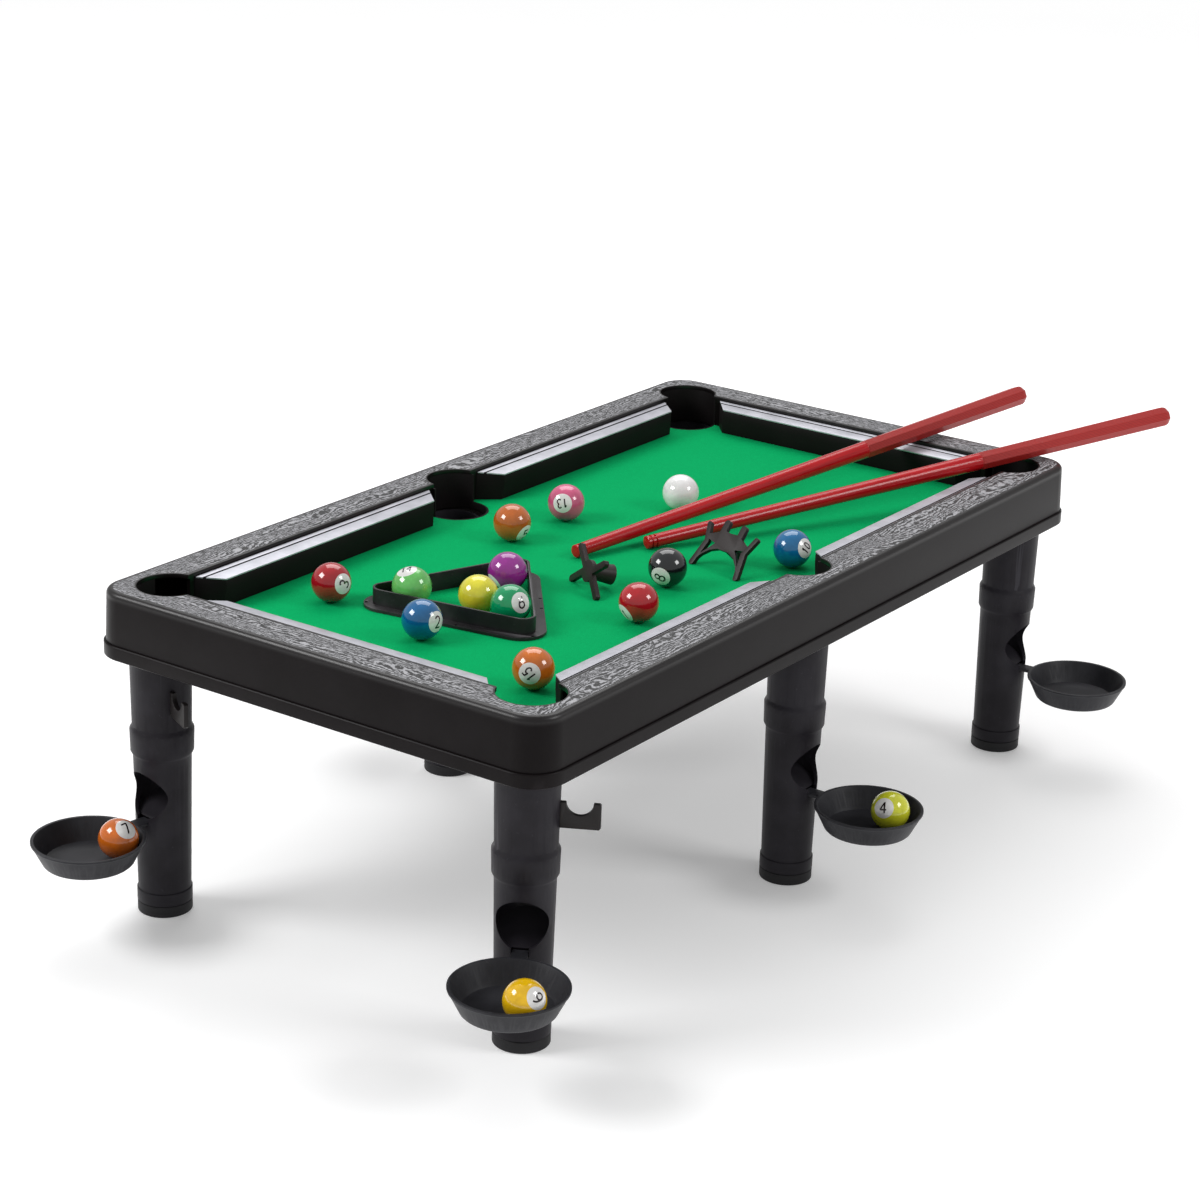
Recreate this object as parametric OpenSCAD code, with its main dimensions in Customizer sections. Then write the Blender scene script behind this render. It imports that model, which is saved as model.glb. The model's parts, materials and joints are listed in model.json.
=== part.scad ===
// Mini pool table on six hollow legs, with ball trays, cue hooks, cues, balls, rack and cue rests.
// Millimetres, +Z up, origin on the floor under the middle of the table, +X along the long side.

/* [Table top] */
// Length over the rail frame at its top
top_l = 632; // [620:1:650]
// Width over the rail frame at its top
top_w = 336; // [330:1:350]
// Height of the rail's top face above the floor
top_h = 214; // [206:1:222]
// Outer radius of the frame's corners in plan
corner_r = 20; // [18:1:36]
// Width of the grained rail face
rail_w = 28; // [26:1:29]
// Height of the whole apron, from the rail's top to the underside
apron_h = 42; // [40:1:46]
// Height of the proud lip at the bottom of the apron
lip_h = 9; // [7:0.5:10]
// Depth of the cloth below the rail's top
bed_drop = 22.5; // [21:0.5:24]

/* [Cushions and pockets] */
// Width of a cushion's top, from the rail to its nose
cushion_w = 15; // [13:0.5:16]
// Step from the rail's top down to the cushion's outer edge
cushion_step = 2.4; // [2:0.1:3]
// Depth of the cushion's nose below the rail's top
nose_drop = 4; // [3.2:0.1:5]
// Radius of a pocket opening
pocket_r = 20.5; // [20:0.5:21.5]
// Distance of the corner pockets from the table's middle, along the table
pocket_x = 282; // [280:1:284]
// Distance of every pocket from the table's middle, across the table
pocket_y = 136; // [135:0.5:137.5]

/* [Legs] */
// Distance of the corner legs from the table's middle, along the table
leg_x = 288; // [286:1:289]
// Distance of every leg from the table's middle, across the table
leg_y = 139.5; // [138:0.5:141]
// Leg radius at the foot
leg_r_foot = 16.2; // [15.5:0.1:16.5]
// Leg radius under the apron
leg_r_top = 19.2; // [18.8:0.1:19.5]
// Wall thickness of a leg
leg_wall = 1.8; // [1.6:0.1:2]
// Height of the middle of the moulded band above the floor
band_z = 115; // [112:1:118]
// Height of the middle of the ball outlet above the floor
outlet_z = 81; // [79:1:83]
// Radius of the ball outlet
outlet_r = 15.3; // [14.5:0.1:15.5]

/* [Trays and hooks] */
// Outer radius of a tray's rim
tray_r = 34.8; // [33:0.2:36]
// Height of a tray's rim above the floor
tray_rim_z = 65; // [64:0.5:66]
// Depth of a tray over its outside
tray_h = 15; // [13:0.5:16]
// Distance of a tray's middle from its leg's axis
tray_out = 58.6; // [58:0.2:61]
// Reach of a cue hook from its leg's axis
hook_reach = 41.9; // [40:0.1:44]

/* [Play things] */
// Ball diameter
ball_d = 25; // [24:0.1:25]
// Length of a cue
cue_l = 439; // [430:1:450]
// Distance from the rack's middle to the outside of its wall
rack_in_r = 35.7; // [35.5:0.1:37]

/* [Hidden] */
BODY_NODES = [
  "rail_frame", "base_pan", "bed_board", "felt_cloth",
  "cushion_front_near", "cushion_front_far", "cushion_back_near", "cushion_back_far",
  "cushion_end_near", "cushion_end_far", "cushion_trims",
  "pocket_liner_front_near", "pocket_liner_front_mid", "pocket_liner_front_far",
  "pocket_liner_back_near", "pocket_liner_back_mid", "pocket_liner_back_far", "pan_screws"];
LEG_NODES = [
  "leg_front_near", "leg_front_mid", "leg_front_far", "leg_back_near", "leg_back_mid", "leg_back_far",
  "foot_front_near", "foot_front_mid", "foot_front_far", "foot_back_near", "foot_back_mid", "foot_back_far",
  "tray_front_near", "tray_front_mid", "tray_front_far", "tray_back_near", "tray_back_mid", "tray_back_far",
  "cue_hook_front", "cue_hook_back"];
PLAY_NODES = [
  "ball_red", "ball_light_green", "ball_blue", "ball_purple", "ball_yellow", "ball_green", "ball_brown",
  "ball_pink", "ball_cue", "ball_black", "ball_dark_red", "ball_sky_blue", "ball_amber",
  "ball_orange", "ball_gold", "ball_lime", "cue_one", "cue_two", "ball_rack", "small_rest", "spider_rest"];

$fn = 48;

// Heights worked out from the driving dimensions
under_z = top_h - apron_h;
lip_z = under_z + lip_h;
cloth_z = top_h - bed_drop;
cloth_t = 0.5;
board_t = 3.5;
// Clearance under the loose things
ball_gap = 0.25;
loose_gap = 0.12;
board_z = cloth_z - cloth_t - board_t;
pan_t = 2.5;
ball_r = ball_d / 2;

// Rail frame section
skirt_t = 2.6;
draft = 1;
edge_r = 3.5;
plate_t = 3;
inner_wall_t = 2.4;
lip_proud = 1.3;

// Pocket parts
liner_wall = 1.4;
liner_gap = 0.3;
liner_r = pocket_r + liner_wall;
bed_hole_r = liner_r + 0.1;
facing = 13;

// Leg parts
spigot_r = leg_r_top - 0.8;
socket_r = spigot_r + 0.07;
socket_wall = 3;
socket_h = 14;
collar_h = 3.4;
collar_gap = 0.3;
band_h = 20;
band_proud = 1.5;
band_edge = 3;
foot_gap_z = 7.5;

// Position of each leg: x side, y side, direction its outlet faces (degrees from +X)
near = -1;
far = 1;
FRONT_NEAR = [near * leg_x, -leg_y, 208.8];
FRONT_MID = [0, -leg_y, 270];
FRONT_FAR = [far * leg_x, -leg_y, 273.5];
BACK_NEAR = [near * leg_x, leg_y, 172.5];
BACK_MID = [0, leg_y, 90];
BACK_FAR = [far * leg_x, leg_y, 90];
LEGS = [FRONT_NEAR, FRONT_MID, FRONT_FAR, BACK_NEAR, BACK_MID, BACK_FAR];
POCKETS = [for (y = [-pocket_y, pocket_y], x = [-pocket_x, 0, pocket_x]) [x, y]];
// Turn of each cue hook from its leg's outlet
front_hook_turn = 90;
back_hook_turn = 71.5;

// Screw posts of the base pan
POSTS = [for (x = [-236, -118, 118, 236], y = [-96, 96]) [x, y]];
post_r = 4.5;
screw_r = 1.5;
screw_bite = 2.6;
screw_play = 0.2;

// Plan outline of a box with round corners
module round_rect(l, w, r) {
  square([l - 2 * r, w], center = true);
  square([l, w - 2 * r], center = true);
  for (x = [-1, 1], y = [-1, 1])
    translate([x * (l / 2 - r), y * (w / 2 - r)]) circle(r);
}

// Runs a section round the table: section x is the distance inwards from the outer edge, y is height
module around() {
  for (side = [0, 1]) {
    mirror([0, side, 0])
      translate([-top_l / 2 + corner_r, -top_w / 2, 0]) rotate([90, 0, 90])
        linear_extrude(top_l - 2 * corner_r) children();
    mirror([side, 0, 0])
      translate([-top_l / 2, top_w / 2 - corner_r, 0]) rotate([90, 0, 0])
        linear_extrude(top_w - 2 * corner_r) children();
    for (end = [0, 1])
      mirror([side, 0, 0]) mirror([0, end, 0])
        translate([top_l / 2 - corner_r, top_w / 2 - corner_r, 0])
          rotate_extrude(angle = 90) translate([corner_r, 0]) mirror([1, 0])
            // nothing of the section passes the middle of the corner
            intersection() {
              children();
              translate([-edge_r - lip_proud, 0]) square([edge_r + lip_proud + corner_r, 2 * top_h]);
            }
  }
}

// Points of a quarter arc round (cx, cy), from angle a to angle a + 90
function arc(cx, cy, r, a, turn = 90, n = 6) =
  [for (i = [0:n]) [cx + r * cos(a + turn * i / n), cy + r * sin(a + turn * i / n)]];

module rail_section() {
  polygon(concat(
    [[-draft, lip_z]],
    arc(edge_r, top_h - edge_r, edge_r, 180, -90),
    [[rail_w, top_h], [rail_w, cloth_z], [rail_w - inner_wall_t, cloth_z],
     [rail_w - inner_wall_t, top_h - plate_t], [skirt_t, top_h - plate_t], [skirt_t - draft, lip_z]]));
}

module rail_frame() {
  color([0.13, 0.13, 0.14])
    difference() {
      around() rail_section();
      for (p = POCKETS) translate([p.x, p.y, 0]) {
        translate([0, 0, cloth_z - 1]) cylinder(r = pocket_r, h = bed_drop + 2);
        translate([0, 0, cloth_z - 1]) cylinder(r = liner_r + liner_gap, h = bed_drop - plate_t + 1);
      }
    }
}

module lip_section() {
  chamfer = 0.6;
  out = -draft - lip_proud;
  polygon([[out + chamfer, under_z], [out, under_z + chamfer], [out, lip_z - chamfer], [out + chamfer, lip_z],
           [skirt_t + 0.2, lip_z], [skirt_t + 0.2, lip_z + 4], [skirt_t + 2.2, lip_z + 4], [skirt_t + 2.2, under_z]]);
}

module base_pan() {
  floor_inset = 4;
  color([0.11, 0.11, 0.12])
    difference() {
      union() {
        around() lip_section();
        translate([0, 0, under_z]) linear_extrude(pan_t)
          round_rect(top_l - floor_inset, top_w - floor_inset, corner_r - floor_inset / 2);
        for (leg = LEGS) translate([leg.x, leg.y, under_z]) cylinder(r = socket_r + socket_wall, h = socket_h);
        for (post = POSTS) translate([post.x, post.y, under_z]) cylinder(r = post_r, h = board_z - under_z);
      }
      for (leg = LEGS) translate([leg.x, leg.y, under_z - 1]) cylinder(r = socket_r, h = socket_h + 2);
      // tops of the sockets lead a ball into the leg
      for (leg = LEGS) translate([leg.x, leg.y, under_z + socket_h - 1.2])
        cylinder(r1 = socket_r, r2 = socket_r + 1.4, h = 1.3);
      for (post = POSTS) translate([post.x, post.y, under_z - 1])
        cylinder(r = screw_r + screw_play, h = board_z - under_z + 2);
    }
}

// Outline of the bed, inside the skirt
module bed_outline(inset, hole_r) {
  difference() {
    round_rect(top_l - 2 * inset, top_w - 2 * inset, corner_r - inset);
    for (p = POCKETS) translate([p.x, p.y]) circle(hole_r);
  }
}

module bed_board() {
  color([0.55, 0.42, 0.28])
    difference() {
      translate([0, 0, board_z]) linear_extrude(board_t) bed_outline(skirt_t + 3, bed_hole_r);
      for (post = POSTS) translate([post.x, post.y, board_z - 1]) cylinder(r = screw_r + 0.05, h = screw_bite + 1);
    }
}

module felt_cloth() {
  color([0, 0.62, 0.36])
    translate([0, 0, board_z + board_t]) linear_extrude(cloth_t) bed_outline(skirt_t + 5, bed_hole_r);
}

// Cushion section: x runs from the rail's inner wall (0) to the nose, y is height
trim_t = 0.8;
trim_strip = 4.5;
groove_w = 0.7;
top_out_z = top_h - cushion_step;
nose_z = top_h - nose_drop;
function cushion_top(x) = top_out_z - (top_out_z - nose_z) * x / cushion_w;
cushion_gap = 0.2;

module cushion_section() {
  polygon([[cushion_gap, cloth_z], [cushion_gap, cushion_top(cushion_gap) - trim_t],
           [cushion_w - 0.6, cushion_top(cushion_w - 0.6) - trim_t], [cushion_w, nose_z - 2.4],
           [cushion_w, nose_z - 7], [cushion_w - 1.5, cloth_z]]);
}

// The trim is two strips with a groove between them
module trim_section() {
  for (s = [[cushion_gap, trim_strip], [trim_strip + groove_w, cushion_w]])
    polygon([[s[0], cushion_top(s[0]) - trim_t], [s[0], cushion_top(s[0])],
             [s[1], cushion_top(s[1])], [s[1], cushion_top(s[1]) - trim_t]]);
  polygon([[trim_strip - 0.1, cushion_top(trim_strip) - trim_t], [trim_strip - 0.1, cushion_top(trim_strip) - 0.5],
           [trim_strip + 0.9, cushion_top(trim_strip) - 0.5], [trim_strip + 0.9, cushion_top(trim_strip) - trim_t]]);
}

// Room of a cushion between two pockets: from a to b at the rail, shorter at the nose by a slanted facing
// at each end
module cushion_room(a, b) {
  translate([0, 0, cloth_z - 1]) linear_extrude(bed_drop + 2)
    polygon([[a, 0], [b, 0], [b - facing, cushion_w], [b - facing, cushion_w + 1],
             [a + facing, cushion_w + 1], [a + facing, cushion_w]]);
}

side_a = 26;
side_b = pocket_x - 25;
end_b = pocket_y - 25;
rail_y = top_w / 2 - rail_w;
rail_x = top_l / 2 - rail_w;

// A long-side cushion of the front, on the far (+X) half
module side_cushion() {
  translate([0, -rail_y, 0]) intersection() {
    translate([side_a - 1, 0, 0]) rotate([90, 0, 90]) linear_extrude(side_b - side_a + 2) children();
    cushion_room(side_a, side_b);
  }
}

// The end cushion at -X
module end_cushion() {
  rotate(-90) translate([0, -rail_x, 0]) intersection() {
    translate([-end_b - 1, 0, 0]) rotate([90, 0, 90]) linear_extrude(2 * end_b + 2) children();
    cushion_room(-end_b, end_b);
  }
}

rubber = [0.07, 0.06, 0.07];
module cushion_front_far() color(rubber) side_cushion() cushion_section();
module cushion_front_near() color(rubber) mirror([1, 0, 0]) side_cushion() cushion_section();
module cushion_back_far() color(rubber) mirror([0, 1, 0]) side_cushion() cushion_section();
module cushion_back_near() color(rubber) rotate(180) side_cushion() cushion_section();
module cushion_end_near() color(rubber) end_cushion() cushion_section();
module cushion_end_far() color(rubber) mirror([1, 0, 0]) end_cushion() cushion_section();

module cushion_trims() {
  color([0.78, 0.78, 0.82]) {
    for (x = [0, 1], y = [0, 1]) mirror([x, 0, 0]) mirror([0, y, 0]) side_cushion() trim_section();
    for (x = [0, 1]) mirror([x, 0, 0]) end_cushion() trim_section();
  }
}

// A black tube behind and below a pocket, open towards the bed above the cloth
module pocket_liner(i, leg) {
  p = POCKETS[i];
  foot_z = under_z + 4.8;
  throat = atan2(-p.y, -p.x);
  color([0.05, 0.05, 0.05])
    difference() {
      translate([p.x, p.y, foot_z]) cylinder(r = liner_r, h = top_h - plate_t - foot_z);
      translate([p.x, p.y, foot_z - 1]) cylinder(r = pocket_r, h = 60);
      // the throat, cut level with the cloth
      translate([p.x, p.y, cloth_z]) rotate(throat) translate([-2, -40, 0]) cube([60, 80, 40]);
      // the top of the leg's socket
      translate([leg.x, leg.y, foot_z - 1])
        cylinder(r = socket_r + socket_wall + liner_gap, h = under_z + socket_h + 1.3 - foot_z);
    }
}

module pan_screws() {
  color([0.6, 0.6, 0.62])
    for (post = POSTS) translate([post.x, post.y, under_z]) {
      translate([0, 0, -1.6]) cylinder(r = 3, h = 1.6);
      translate([0, 0, -0.2]) cylinder(r = screw_r, h = board_z - under_z + screw_bite);
    }
}

// Leg radius at a height, on the straight taper
function leg_r(z) = leg_r_foot + (leg_r_top - leg_r_foot) * z / under_z;

// Half section of a leg: x is radius, y is height
module leg_section() {
  ring_r = leg_r(foot_gap_z) + 0.9;
  b0 = band_z - band_h / 2;
  b1 = band_z + band_h / 2;
  collar_z = under_z - collar_gap - collar_h;
  top_z = under_z + socket_h - 1;
  polygon([
    [leg_r_foot - leg_wall, foot_gap_z + 0.3], [ring_r, foot_gap_z + 0.3], [ring_r, foot_gap_z + 8],
    [leg_r(foot_gap_z + 8.6), foot_gap_z + 8.6],
    [leg_r(b0), b0], [leg_r(b0) + band_proud, b0 + band_edge], [leg_r(b1) + band_proud, b1 - band_edge],
    [leg_r(b1), b1],
    [leg_r(collar_z), collar_z], [leg_r(collar_z) + 0.7, collar_z + 0.7],
    [leg_r(collar_z) + 0.7, under_z - collar_gap],
    [spigot_r, under_z - collar_gap], [spigot_r, top_z], [spigot_r - leg_wall, top_z],
    [spigot_r - leg_wall, under_z]]);
}

// The ball outlet: an egg-shaped hole with a clip notch at its foot
module outlet() {
  notch_w = 10.4;
  rotate([90, 0, 90]) linear_extrude(40) {
    translate([0, outlet_z]) circle(outlet_r);
    translate([-notch_w / 2, tray_rim_z - 3.2]) square([notch_w, 12]);
  }
}

// The ramp inside a leg, which turns a falling ball out through the outlet
module ramp() {
  bottom_z = 50;
  top_z = 110;
  skin = leg_wall - 0.3;
  intersection() {
    translate([0, 0, bottom_z])
      cylinder(r1 = leg_r(bottom_z) - skin, r2 = leg_r(top_z) - skin, h = top_z - bottom_z);
    translate([0, 0, outlet_z - 9.5]) rotate([0, 25, 0]) translate([-40, -30, -2]) cube([54, 60, 2]);
  }
}

module leg(place) {
  color([0.14, 0.14, 0.15])
    translate([place.x, place.y, 0]) rotate(place.z) {
      difference() {
        rotate_extrude() leg_section();
        outlet();
      }
      ramp();
    }
}

module foot(place) {
  plug_r = leg_r_foot - leg_wall - 0.05;
  ring_r = leg_r(0) + 0.9;
  color([0.09, 0.09, 0.1])
    translate([place.x, place.y, 0]) rotate_extrude()
      polygon([[0, 0], [ring_r - 0.5, 0], [ring_r, 0.5], [ring_r, foot_gap_z - 0.6], [ring_r - 0.6, foot_gap_z],
               [plug_r, foot_gap_z], [plug_r, 14], [plug_r - 2, 14], [plug_r - 2, 3], [0, 3]]);
}

tray_t = 1.5;
tray_base_r = tray_r - 6.8;
tray_floor_z = tray_rim_z - tray_h + tray_t;

module tray(place) {
  tab_w = 9.6;
  tab_t = 2;
  tab_z = tray_rim_z - 2.9;
  hook_x = leg_r(tray_rim_z) - leg_wall - 3.2;
  color([0.12, 0.12, 0.13])
    translate([place.x, place.y, 0]) rotate(place.z) {
      translate([tray_out, 0, 0]) rotate_extrude()
        polygon([[0, tray_rim_z - tray_h], [tray_base_r - 1, tray_rim_z - tray_h], [tray_base_r, tray_rim_z - tray_h + 1],
                 [tray_r - 0.6, tray_rim_z - 1.6], [tray_r, tray_rim_z - 1.2], [tray_r, tray_rim_z],
                 [tray_r - tray_t - 0.4, tray_rim_z], [tray_base_r - tray_t, tray_floor_z], [0, tray_floor_z]]);
      // clip tab that hooks over the foot of the outlet
      difference() {
        translate([hook_x, -tab_w / 2, tab_z]) cube([tray_out - tray_r - hook_x + 3, tab_w, tab_t]);
        translate([tray_out, 0, tray_rim_z - tray_h])
          cylinder(r1 = tray_base_r - tray_t, r2 = tray_r - tray_t, h = tray_h + 1);
      }
      translate([hook_x, -tab_w / 2, tab_z - 4]) cube([1.6, tab_w, 4 + tab_t]);
    }
}

// A flat plate with an open notch for a cue
module cue_hook(place, turn) {
  hook_t = 3;
  z0 = 136.5;
  z1 = 152.2;
  notch_r = 7.75;
  notch_x = 29.8;
  color([0.08, 0.08, 0.08])
    translate([place.x, place.y, 0]) rotate(place.z + turn) rotate([90, 0, 0])
      translate([0, 0, -hook_t / 2]) linear_extrude(hook_t) difference() {
        polygon([[leg_r(z0) - 0.1, z0], [hook_reach - 1, z0], [hook_reach, z0 + 1], [hook_reach, z1 - 0.8],
                 [hook_reach - 0.8, z1], [leg_r(z1) - 0.1, z1]]);
        translate([notch_x, z1]) circle(notch_r);
      }
}

// Ball places on the cloth: [name, x, y]
CLOTH_BALLS = [
  ["ball_red", -195, 82.5], ["ball_light_green", -168.5, 40], ["ball_blue", -210.5, -1.5],
  ["ball_purple", -107.8, 11.6], ["ball_yellow", -153.6, -0.4], ["ball_green", -155, -26.2],
  ["ball_brown", -28, 68], ["ball_pink", 30, 66], ["ball_cue", 99.5, 19.5], ["ball_black", -35.5, -61],
  ["ball_dark_red", -101, -84], ["ball_sky_blue", 48.5, -102], ["ball_amber", -232.5, -101]];
// Ball places in the trays: [name, leg, distance out from the leg's axis, distance sideways]
TRAY_BALLS = [["ball_orange", BACK_NEAR, 44, 11], ["ball_gold", FRONT_NEAR, 73.5, 10.7], ["ball_lime", FRONT_MID, 71.5, 5]];

module ball_shape(tint) {
  color(tint) sphere(r = ball_r);
}

module cloth_ball(i, tint) {
  translate([CLOTH_BALLS[i][1], CLOTH_BALLS[i][2], cloth_z + ball_r + ball_gap]) ball_shape(tint);
}

module tray_ball(i, tint) {
  b = TRAY_BALLS[i];
  translate([b[1].x, b[1].y, tray_floor_z + ball_r + ball_gap]) rotate(b[1].z) translate([b[2], b[3], 0]) ball_shape(tint);
}

// A cue, lying from its tip on the cloth up over the far rail
cue_tip_r = 4.4;
cue_butt_r = 7.4;
cue_grip_r = 6.6;
handle_l = 168;
cue_contact_r = 7.05;
module cue(tip_x, tip_y, heading, contact_x) {
  run = (contact_x - tip_x) / cos(heading);
  rise = atan((bed_drop + cue_contact_r - cue_tip_r) / run);
  ring = 0.7;
  handle_z = cue_l - handle_l;
  shaft_r = 6;
  color([0.72, 0.06, 0.08])
    translate([tip_x, tip_y, cloth_z + cue_tip_r + 0.35]) rotate([0, 0, heading]) rotate([0, 90 - rise, 0])
      rotate_extrude()
        polygon([[0, 0], [cue_tip_r - 0.6, 0], [cue_tip_r, 0.8], [cue_tip_r, 2.4], [cue_tip_r - ring, 2.7],
                 [cue_tip_r - ring, 3.5], [cue_tip_r, 3.8], [cue_tip_r, 5.6], [cue_tip_r - ring, 5.9],
                 [cue_tip_r - ring, 6.7], [cue_tip_r, 7], [shaft_r, handle_z], [cue_grip_r, handle_z + 1],
                 [cue_butt_r, cue_l - 4], [cue_butt_r - 1.2, cue_l], [0, cue_l]]);
}

// Triangle with round corners: in_r is the distance from the middle to a side
module triangle(in_r, r) {
  hull() for (a = [0:120:240]) rotate(a) translate([2 * (in_r - r), 0]) circle(r, $fn = 32);
}

rack_x = -142.9;
rack_y = 10.2;
rack_turn = 128.9;
rack_wall_t = 1.5;
rack_h = 12;
rack_flange = 6.8;
module ball_rack() {
  flange_t = 1.8;
  color([0.08, 0.08, 0.09])
    translate([rack_x, rack_y, cloth_z + loose_gap]) rotate(rack_turn) difference() {
      union() {
        linear_extrude(flange_t) triangle(rack_in_r + rack_flange, 16);
        linear_extrude(rack_h) triangle(rack_in_r, 8);
      }
      translate([0, 0, -1]) linear_extrude(rack_h + 2) triangle(rack_in_r - rack_wall_t, 6.5);
      for (a = [0:120:240]) rotate(a) translate([2 * rack_in_r - 4, 0, -1]) cylinder(r = 1.1, h = 4);
      for (a = [60:120:300], s = [-9, 9]) rotate(a) translate([rack_in_r + rack_flange - 2.6, s - 0.7, -1])
        cube([2, 1.4, 4]);
    }
}

rest_t = 3;
// Conical cue socket on the back of a rest
module rest_socket(r0, r1, l) {
  difference() {
    cylinder(r1 = r0, r2 = r1, h = l);
    translate([0, 0, 2]) cylinder(r1 = r0 - 1.3, r2 = r1 - 1.3, h = l - 1.9);
  }
}

// A straight bar with round ends, in the plane of a rest
module bar(a, b, r) {
  hull() {
    translate(a) circle(r, $fn = 32);
    translate(b) circle(r, $fn = 32);
  }
}

// Lays out a rest: stands the drawn plate up, leans it back and turns it about its feet's middle
module stand_rest(x, y, turn, lean) {
  translate([x, y, cloth_z]) rotate(turn) rotate([0, lean, 0]) rotate([90, 0, 90]) children();
}

module small_rest() {
  arm_r = 2.2;
  color([0.12, 0.09, 0.09])
    difference() {
      stand_rest(-76, -25, -30.5, 15) {
        translate([0, 0, -rest_t / 2]) linear_extrude(rest_t) {
          for (s = [-1, 1]) {
            bar([s * 18.5, 1.8], [s * 5, 11.5], arm_r);
            bar([s * 18, 23.5], [s * 5, 14.5], arm_r);
          }
          translate([0, 13]) circle(7.2);
        }
        translate([0, 13, rest_t / 2 - 0.2]) rest_socket(4.8, 6.6, 15);
      }
      translate([-76, -25, cloth_z + loose_gap - 10]) cube([80, 80, 20], center = true);
    }
}

module spider_rest() {
  arm_r = 1.9;
  color([0.13, 0.1, 0.1])
    difference() {
      stand_rest(7, -68.5, -13, 36) {
        translate([0, 0, -rest_t / 2]) linear_extrude(rest_t) {
          for (s = [-1, 1]) {
            bar([s * 20.5, 1.2], [s * 17, 17.5], arm_r);
            bar([s * 17, 17.5], [s * 21.5, 29], 1.6);
            bar([s * 7.5, 21], [s * 7.5, 33], 2.3);
          }
          polygon([[-20, 1.5], [-16, 8], [-11, 12.5], [-5, 15], [5, 15], [11, 12.5], [16, 8], [20, 1.5], [19, 6],
                   [9, 18], [17, 19.5], [18, 22.5], [12, 25], [7, 28], [0, 27.4], [-7, 28], [-12, 25], [-18, 22.5],
                   [-17, 19.5], [-9, 18], [-19, 6]]);
        }
        translate([0, 20, rest_t / 2 - 0.2]) rest_socket(4.6, 6, 14);
      }
      translate([7, -68.5, cloth_z + loose_gap - 10]) cube([90, 90, 20], center = true);
    }
}

rail_frame();
base_pan();
bed_board();
felt_cloth();
cushion_front_near();
cushion_front_far();
cushion_back_near();
cushion_back_far();
cushion_end_near();
cushion_end_far();
cushion_trims();
pocket_liner(0, FRONT_NEAR);  // pocket_liner_front_near
pocket_liner(1, FRONT_MID);  // pocket_liner_front_mid
pocket_liner(2, FRONT_FAR);  // pocket_liner_front_far
pocket_liner(3, BACK_NEAR);  // pocket_liner_back_near
pocket_liner(4, BACK_MID);  // pocket_liner_back_mid
pocket_liner(5, BACK_FAR);  // pocket_liner_back_far
pan_screws();
leg(FRONT_NEAR);  // leg_front_near
leg(FRONT_MID);  // leg_front_mid
leg(FRONT_FAR);  // leg_front_far
leg(BACK_NEAR);  // leg_back_near
leg(BACK_MID);  // leg_back_mid
leg(BACK_FAR);  // leg_back_far
foot(FRONT_NEAR);  // foot_front_near
foot(FRONT_MID);  // foot_front_mid
foot(FRONT_FAR);  // foot_front_far
foot(BACK_NEAR);  // foot_back_near
foot(BACK_MID);  // foot_back_mid
foot(BACK_FAR);  // foot_back_far
tray(FRONT_NEAR);  // tray_front_near
tray(FRONT_MID);  // tray_front_mid
tray(FRONT_FAR);  // tray_front_far
tray(BACK_NEAR);  // tray_back_near
tray(BACK_MID);  // tray_back_mid
tray(BACK_FAR);  // tray_back_far
cue_hook(FRONT_NEAR, front_hook_turn);  // cue_hook_front
cue_hook(BACK_NEAR, back_hook_turn);  // cue_hook_back
cloth_ball(0, [0.7, 0.03, 0.07]);  // ball_red
cloth_ball(1, [0.3, 0.75, 0.35]);  // ball_light_green
cloth_ball(2, [0, 0.35, 0.6]);  // ball_blue
cloth_ball(3, [0.6, 0.15, 0.55]);  // ball_purple
cloth_ball(4, [0.95, 0.9, 0.25]);  // ball_yellow
cloth_ball(5, [0, 0.55, 0.35]);  // ball_green
cloth_ball(6, [0.8, 0.35, 0.08]);  // ball_brown
cloth_ball(7, [0.8, 0.35, 0.5]);  // ball_pink
cloth_ball(8, [0.93, 0.9, 0.86]);  // ball_cue
cloth_ball(9, [0.03, 0.03, 0.03]);  // ball_black
cloth_ball(10, [0.5, 0.02, 0.05]);  // ball_dark_red
cloth_ball(11, [0, 0.35, 0.6]);  // ball_sky_blue
cloth_ball(12, [0.95, 0.45, 0.1]);  // ball_amber
tray_ball(0, [0.85, 0.35, 0.1]);  // ball_orange
tray_ball(1, [0.98, 0.75, 0.05]);  // ball_gold
tray_ball(2, [0.85, 0.85, 0.2]);  // ball_lime
cue(-30.1, 15.1, -13.05, rail_x);  // cue_one
cue(15.2, -9.9, -24.63, rail_x + 14);  // cue_two
ball_rack();
small_rest();
spider_rest();
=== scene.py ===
import json
import math
import random

import bmesh
import bpy
from mathutils import Matrix, Vector, noise
from mathutils.geometry import delaunay_2d_cdt


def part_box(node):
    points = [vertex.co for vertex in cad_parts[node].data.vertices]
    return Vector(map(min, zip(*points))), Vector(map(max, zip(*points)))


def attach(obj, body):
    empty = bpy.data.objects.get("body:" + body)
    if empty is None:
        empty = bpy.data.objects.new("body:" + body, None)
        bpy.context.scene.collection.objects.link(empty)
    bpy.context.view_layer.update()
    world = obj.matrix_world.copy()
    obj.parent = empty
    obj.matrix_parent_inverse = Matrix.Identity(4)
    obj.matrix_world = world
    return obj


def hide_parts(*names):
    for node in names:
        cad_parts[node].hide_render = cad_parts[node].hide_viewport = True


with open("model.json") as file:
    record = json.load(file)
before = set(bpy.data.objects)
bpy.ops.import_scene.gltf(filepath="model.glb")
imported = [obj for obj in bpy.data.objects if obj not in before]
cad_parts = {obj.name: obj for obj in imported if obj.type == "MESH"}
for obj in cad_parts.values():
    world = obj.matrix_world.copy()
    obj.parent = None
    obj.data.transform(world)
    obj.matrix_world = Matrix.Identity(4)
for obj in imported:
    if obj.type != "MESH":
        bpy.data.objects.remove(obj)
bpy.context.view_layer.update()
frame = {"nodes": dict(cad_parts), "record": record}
nodes = frame["nodes"]
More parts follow.
